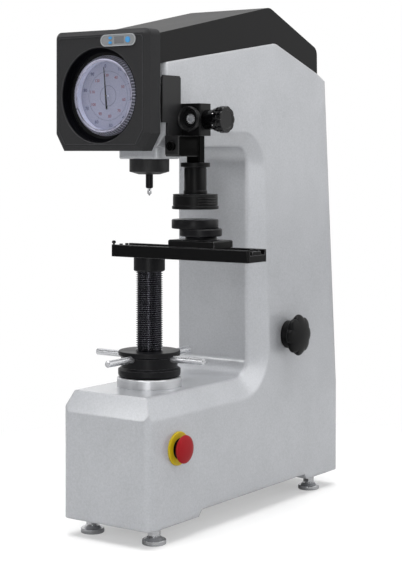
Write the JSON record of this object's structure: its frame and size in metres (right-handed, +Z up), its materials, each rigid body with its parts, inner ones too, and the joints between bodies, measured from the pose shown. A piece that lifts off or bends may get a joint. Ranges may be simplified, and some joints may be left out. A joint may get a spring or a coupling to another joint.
{
  "type": "hardness tester",
  "caption": "Bench hardness tester with C-frame, dial gauge head, indenter, measuring microscope, sliding anvil on an elevating screw, force selector and stop button.",
  "frame": {"origin": "on the floor under the middle of the machine's bounding box", "axes": "+Z up, -Y towards the dial at the front, +X towards the microscope and force selector on the right side"},
  "size_m": [0.295, 0.5442, 0.7948],
  "materials": {
    "silver_paint": "satin metallic",
    "black_paint": "fine textured satin",
    "black_plastic": "satin moulded",
    "black_steel": "black oxide satin",
    "black_anodised": "anodised satin",
    "steel": "turned",
    "weight_iron": "machined",
    "bezel_aluminium": "bright anodised",
    "glass": "clear",
    "lens_glass": "coated",
    "dial_face": "matt print",
    "pointer_black": "matt",
    "panel_grey": "membrane",
    "display": "display window",
    "blue_plastic": "glossy",
    "yellow_plastic": "glossy",
    "red_plastic": "glossy"
  },
  "bodies": {
    "frame": {"frame_casting": "silver_paint", "top_cover": "black_paint", "rear_cover": "black_paint", "rear_cover_screws": "steel", "power_inlet": "black_plastic", "dial_housing": "black_plastic", "control_panel": "panel_grey", "display_window": "display", "gauge_case": "bezel_aluminium", "spindle_nose": "silver_paint", "spindle_guard": "black_steel", "lever_posts": "steel", "oil_buffer": "weight_iron", "drive_motor": "weight_iron", "screw_boss": "steel", "thrust_bearing": "steel", "scope_bracket": "black_anodised", "clamp_screw": "black_anodised", "scope_block": "black_anodised", "eyepiece_tube": "black_anodised", "eyepiece_lens": "lens_glass", "micrometer_neck": "black_anodised", "scope_arm": "black_anodised", "scope_tube": "black_anodised", "objective": "lens_glass", "objective_ring": "black_anodised", "stop_ring": "yellow_plastic", "stop_neck": "black_plastic", "knob_hub": "black_plastic"},
    "bezel": {"bezel_ring": "bezel_aluminium", "gauge_glass": "glass", "dial_plate": "dial_face"},
    "pointer": {"pointer": "pointer_black"},
    "spindle": {"spindle": "black_steel", "indenter": "steel"},
    "lever": {"load_lever": "steel"},
    "weights": {"weight_hanger": "steel", "weight_stack": "weight_iron"},
    "handwheel": {"handwheel": "black_steel", "handwheel_rods": "steel"},
    "lift": {"elevating_screw": "black_steel", "screw_collar": "black_steel", "slide_rail": "black_steel", "rail_stops": "black_steel"},
    "carriage": {"carriage": "black_steel", "anvil_socket": "black_steel"},
    "anvil": {"anvil_seat": "black_steel", "anvil_plate": "black_steel"},
    "knob": {"force_knob": "black_plastic", "selector_shaft": "steel"},
    "stop": {"stop_button": "red_plastic"},
    "round_button": {"round_button": "blue_plastic"},
    "upper_key": {"upper_key": "blue_plastic"},
    "lower_key": {"lower_key": "blue_plastic"},
    "focus_ring": {"focus_ring": "black_anodised"},
    "drum": {"micrometer_drum": "black_anodised"},
    "foot_front_left": {"foot_front_left": "steel"},
    "foot_rear_left": {"foot_rear_left": "steel"},
    "foot_front_right": {"foot_front_right": "steel"},
    "foot_rear_right": {"foot_rear_right": "steel"}
  },
  "joints": [
    {"name": "bezel_turn", "type": "hinge", "parent": "frame", "child": "bezel", "pos_m": [-0.0485, -0.261, 0.647], "axis": [0, 1, 0], "continuous": true},
    {"name": "pointer_spin", "type": "hinge", "parent": "frame", "child": "pointer", "pos_m": [-0.0485, -0.261, 0.647], "axis": [0, 1, 0], "range_deg": [0, 1080.5]},
    {"name": "spindle_lift", "type": "slide", "parent": "frame", "child": "spindle", "axis": [0, 0, 1], "range_m": [0, 0.000601]},
    {"name": "lever_tilt", "type": "hinge", "parent": "frame", "child": "lever", "pos_m": [-0.0465, -0.183, 0.664], "axis": [1, 0, 0], "range_deg": [0, 1.15]},
    {"name": "weights_lift", "type": "slide", "parent": "frame", "child": "weights", "axis": [0, 0, 1], "range_m": [0, 0.0074]},
    {"name": "handwheel_spin", "type": "hinge", "parent": "frame", "child": "handwheel", "pos_m": [-0.0465, -0.153, 0.2583], "axis": [0, 0, 1], "range_deg": [-1260, 10170]},
    {"name": "screw_lift", "type": "slide", "parent": "frame", "child": "lift", "axis": [0, 0, 1], "range_m": [-0.1131, 0.0141]},
    {"name": "carriage_slide", "type": "slide", "parent": "lift", "child": "carriage", "axis": [1, 0, 0], "range_m": [-0.0845, 0]},
    {"name": "anvil_turn", "type": "hinge", "parent": "carriage", "child": "anvil", "pos_m": [0.0485, -0.153, 0.437], "axis": [0, 0, 1], "continuous": true},
    {"name": "knob_turn", "type": "hinge", "parent": "frame", "child": "knob", "pos_m": [0.0327, 0.111, 0.271], "axis": [1, 0, 0], "range_deg": [0, 240]},
    {"name": "stop_press", "type": "slide", "parent": "frame", "child": "stop", "axis": [-1, 0, 0], "range_m": [0, 0.004], "stiffness_N_per_m": 800, "springref_m": -0.002},
    {"name": "round_button_press", "type": "slide", "parent": "frame", "child": "round_button", "axis": [0, 1, 0], "range_m": [0, 0.0006], "stiffness_N_per_m": 300, "springref_m": -0.0006},
    {"name": "upper_key_press", "type": "slide", "parent": "frame", "child": "upper_key", "axis": [0, 1, 0], "range_m": [0, 0.0006], "stiffness_N_per_m": 300, "springref_m": -0.0006},
    {"name": "lower_key_press", "type": "slide", "parent": "frame", "child": "lower_key", "axis": [0, 1, 0], "range_m": [0, 0.0006], "stiffness_N_per_m": 300, "springref_m": -0.0006},
    {"name": "focus_turn", "type": "hinge", "parent": "frame", "child": "focus_ring", "pos_m": [0.051, -0.179, 0.6136], "axis": [0, 1, 0], "range_deg": [-120, 120]},
    {"name": "drum_turn", "type": "hinge", "parent": "frame", "child": "drum", "pos_m": [0.0655, -0.162, 0.6125], "axis": [1, 0, 0], "continuous": true},
    {"name": "foot_front_left_level", "type": "slide", "parent": "frame", "child": "foot_front_left", "axis": [0, 0, -1], "range_m": [0, 0.008]},
    {"name": "foot_rear_left_level", "type": "slide", "parent": "frame", "child": "foot_rear_left", "axis": [0, 0, -1], "range_m": [0, 0.008]},
    {"name": "foot_front_right_level", "type": "slide", "parent": "frame", "child": "foot_front_right", "axis": [0, 0, -1], "range_m": [0, 0.008]},
    {"name": "foot_rear_right_level", "type": "slide", "parent": "frame", "child": "foot_rear_right", "axis": [0, 0, -1], "range_m": [0, 0.008]}
  ],
  "couplings": [
    {"joint": "pointer_spin", "follows": "weights_lift", "rad_per_m": 2547.2},
    {"joint": "spindle_lift", "follows": "weights_lift", "ratio": 0.081081},
    {"joint": "lever_tilt", "follows": "weights_lift", "rad_per_m": 2.7027},
    {"joint": "screw_lift", "follows": "handwheel_spin", "m_per_rad": -0.00063662}
  ]
}
